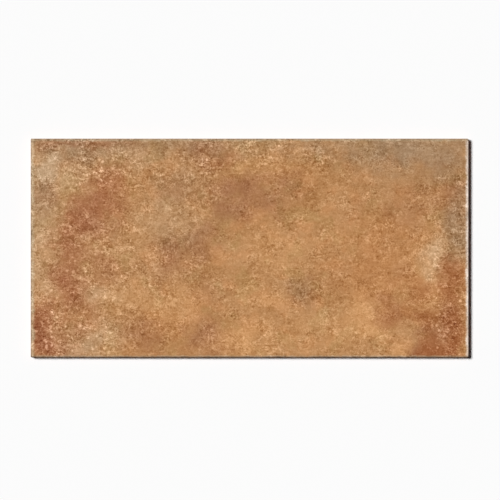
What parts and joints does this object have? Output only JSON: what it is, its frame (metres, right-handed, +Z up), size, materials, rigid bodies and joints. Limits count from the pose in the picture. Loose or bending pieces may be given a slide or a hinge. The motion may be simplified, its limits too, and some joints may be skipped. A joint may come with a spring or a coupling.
{
  "type": "ceramic floor tile",
  "caption": "Flat rectangular ceramic floor tile: mottled terracotta-look matt face, softened arris, bevelled sides and a waffle-keyed back that beds in mortar.",
  "frame": {"origin": "centre of the back, on the plane of its ribs, which the tile rests on", "axes": "+X along the length, +Y across the width, +Z up out of the decorated face"},
  "size_m": [0.6, 0.3, 0.0095],
  "materials": {
    "fired_clay": "matte"
  },
  "bodies": {
    "root": {"floor_tile": "fired_clay"}
  },
  "joints": []
}
